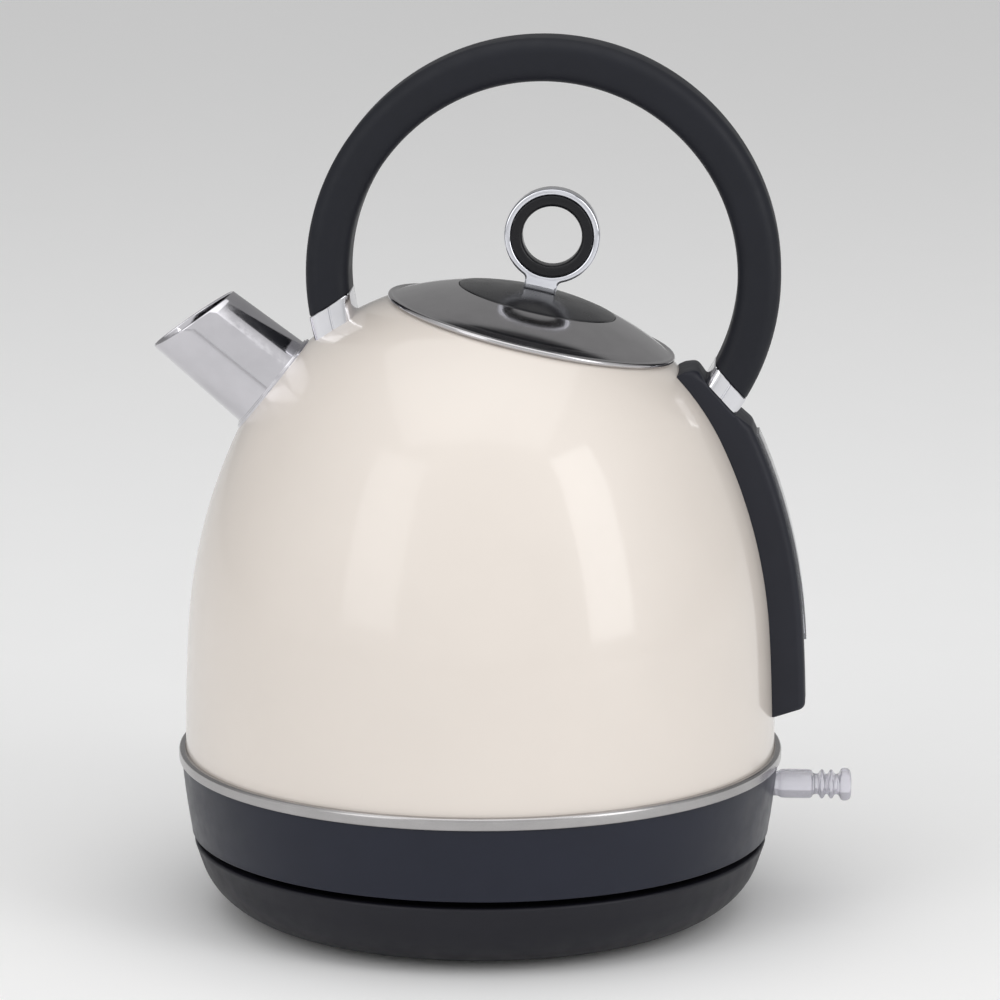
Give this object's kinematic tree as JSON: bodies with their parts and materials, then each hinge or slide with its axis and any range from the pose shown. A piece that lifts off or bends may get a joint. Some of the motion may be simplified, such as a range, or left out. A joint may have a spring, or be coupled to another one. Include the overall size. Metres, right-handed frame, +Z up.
{
  "type": "electric kettle",
  "caption": "Cordless electric kettle: cream dome body, hoop handle, tilted lid with ring knob, slanted steel spout, rear gauge and switch, on a round power base.",
  "frame": {"origin": "on the dome's upright axis, on the surface that the base's foot ring stands on", "axes": "+Z up, spout towards -X, switch, gauge and spine on the +X side, cord gland towards +Y"},
  "size_m": [0.2192, 0.19, 0.2755],
  "materials": {
    "black_base": "fine satin grain",
    "black_collar": "fine satin grain",
    "black_handle": "soft satin",
    "black_spine": "fine satin grain",
    "black_gloss": "polished",
    "inner_plastic": "moulded, as cast",
    "cream_paint": "smooth gloss lacquer",
    "steel": "fine brushed",
    "polished_steel": "polished steel",
    "chrome": "mirror plated",
    "aluminium": "as cast",
    "brass": "bright strip",
    "rubber": "soft matt",
    "silicone": "translucent silicone",
    "clear": "clear moulded plastic",
    "screw_steel": "zinc plated",
    "mesh": "fine nylon mesh"
  },
  "bodies": {
    "power_base": {"base_housing": "black_base", "base_bottom_cover": "black_base", "foot_ring": "rubber", "base_screws": "screw_steel", "base_connector": "black_base", "base_contacts": "brass", "cord_gland": "rubber", "cord_clamp": "inner_plastic", "clamp_screws": "screw_steel"},
    "swivel": {"shutter_sleeve": "inner_plastic"},
    "jug": {"lower_collar": "black_collar", "trim_band": "steel", "underside_cover": "black_base", "underside_screws": "screw_steel", "floor_plate": "steel", "heat_spreader": "aluminium", "heating_element": "steel", "element_pins": "screw_steel", "control_unit": "inner_plastic", "jug_connector": "black_base", "live_pin": "brass", "neutral_ring": "brass", "earth_ring": "brass", "steam_tube": "steel", "steam_thermostat": "inner_plastic", "bimetal_disc": "brass", "switch_bracket": "inner_plastic", "pivot_pins": "screw_steel", "indicator_lamp": "clear", "body_shell": "cream_paint", "lid_seat": "steel", "spout_tube": "polished_steel", "spout_flange": "polished_steel", "handle_grip": "black_handle", "handle_core": "steel", "front_sleeve": "chrome", "rear_sleeve": "chrome", "handle_stud": "screw_steel", "stud_nut": "screw_steel", "spine_cover": "black_spine", "gauge_window": "clear", "gauge_gasket": "silicone", "spine_screws": "screw_steel"},
    "lid": {"lid_cover": "polished_steel", "lid_cap": "black_gloss", "lid_liner": "inner_plastic", "lid_gasket": "silicone", "knob_ring": "chrome", "knob_insert": "black_gloss", "knob_screw": "screw_steel"},
    "lever": {"switch_lever": "clear"},
    "rocker": {"trip_rocker": "inner_plastic"},
    "spout_filter": {"filter_frame": "inner_plastic", "filter_mesh": "mesh"}
  },
  "joints": [
    {"name": "base_swivel", "type": "hinge", "parent": "power_base", "child": "swivel", "pos_m": [0, 0, 0.03], "axis": [0, 0, 1], "continuous": true},
    {"name": "jug_lift", "type": "slide", "parent": "swivel", "child": "jug", "axis": [0, 0, 1], "range_m": [0, 0.12]},
    {"name": "lid_lift", "type": "slide", "parent": "jug", "child": "lid", "axis": [0.2195, 0, 0.9756], "range_m": [0, 0.028]},
    {"name": "switch_press", "type": "hinge", "parent": "jug", "child": "lever", "pos_m": [0.08, 0, 0.04], "axis": [0, 1, 0], "range_deg": [0, 10]},
    {"name": "rocker_trip", "type": "hinge", "parent": "jug", "child": "rocker", "pos_m": [0.06, 0, 0.04], "axis": [0, 1, 0], "range_deg": [-10, 0]},
    {"name": "filter_pull", "type": "slide", "parent": "jug", "child": "spout_filter", "axis": [0.7794, 0, -0.6265], "range_m": [0, 0.028]}
  ],
  "couplings": [
    {"joint": "rocker_trip", "follows": "switch_press", "ratio": -1}
  ]
}
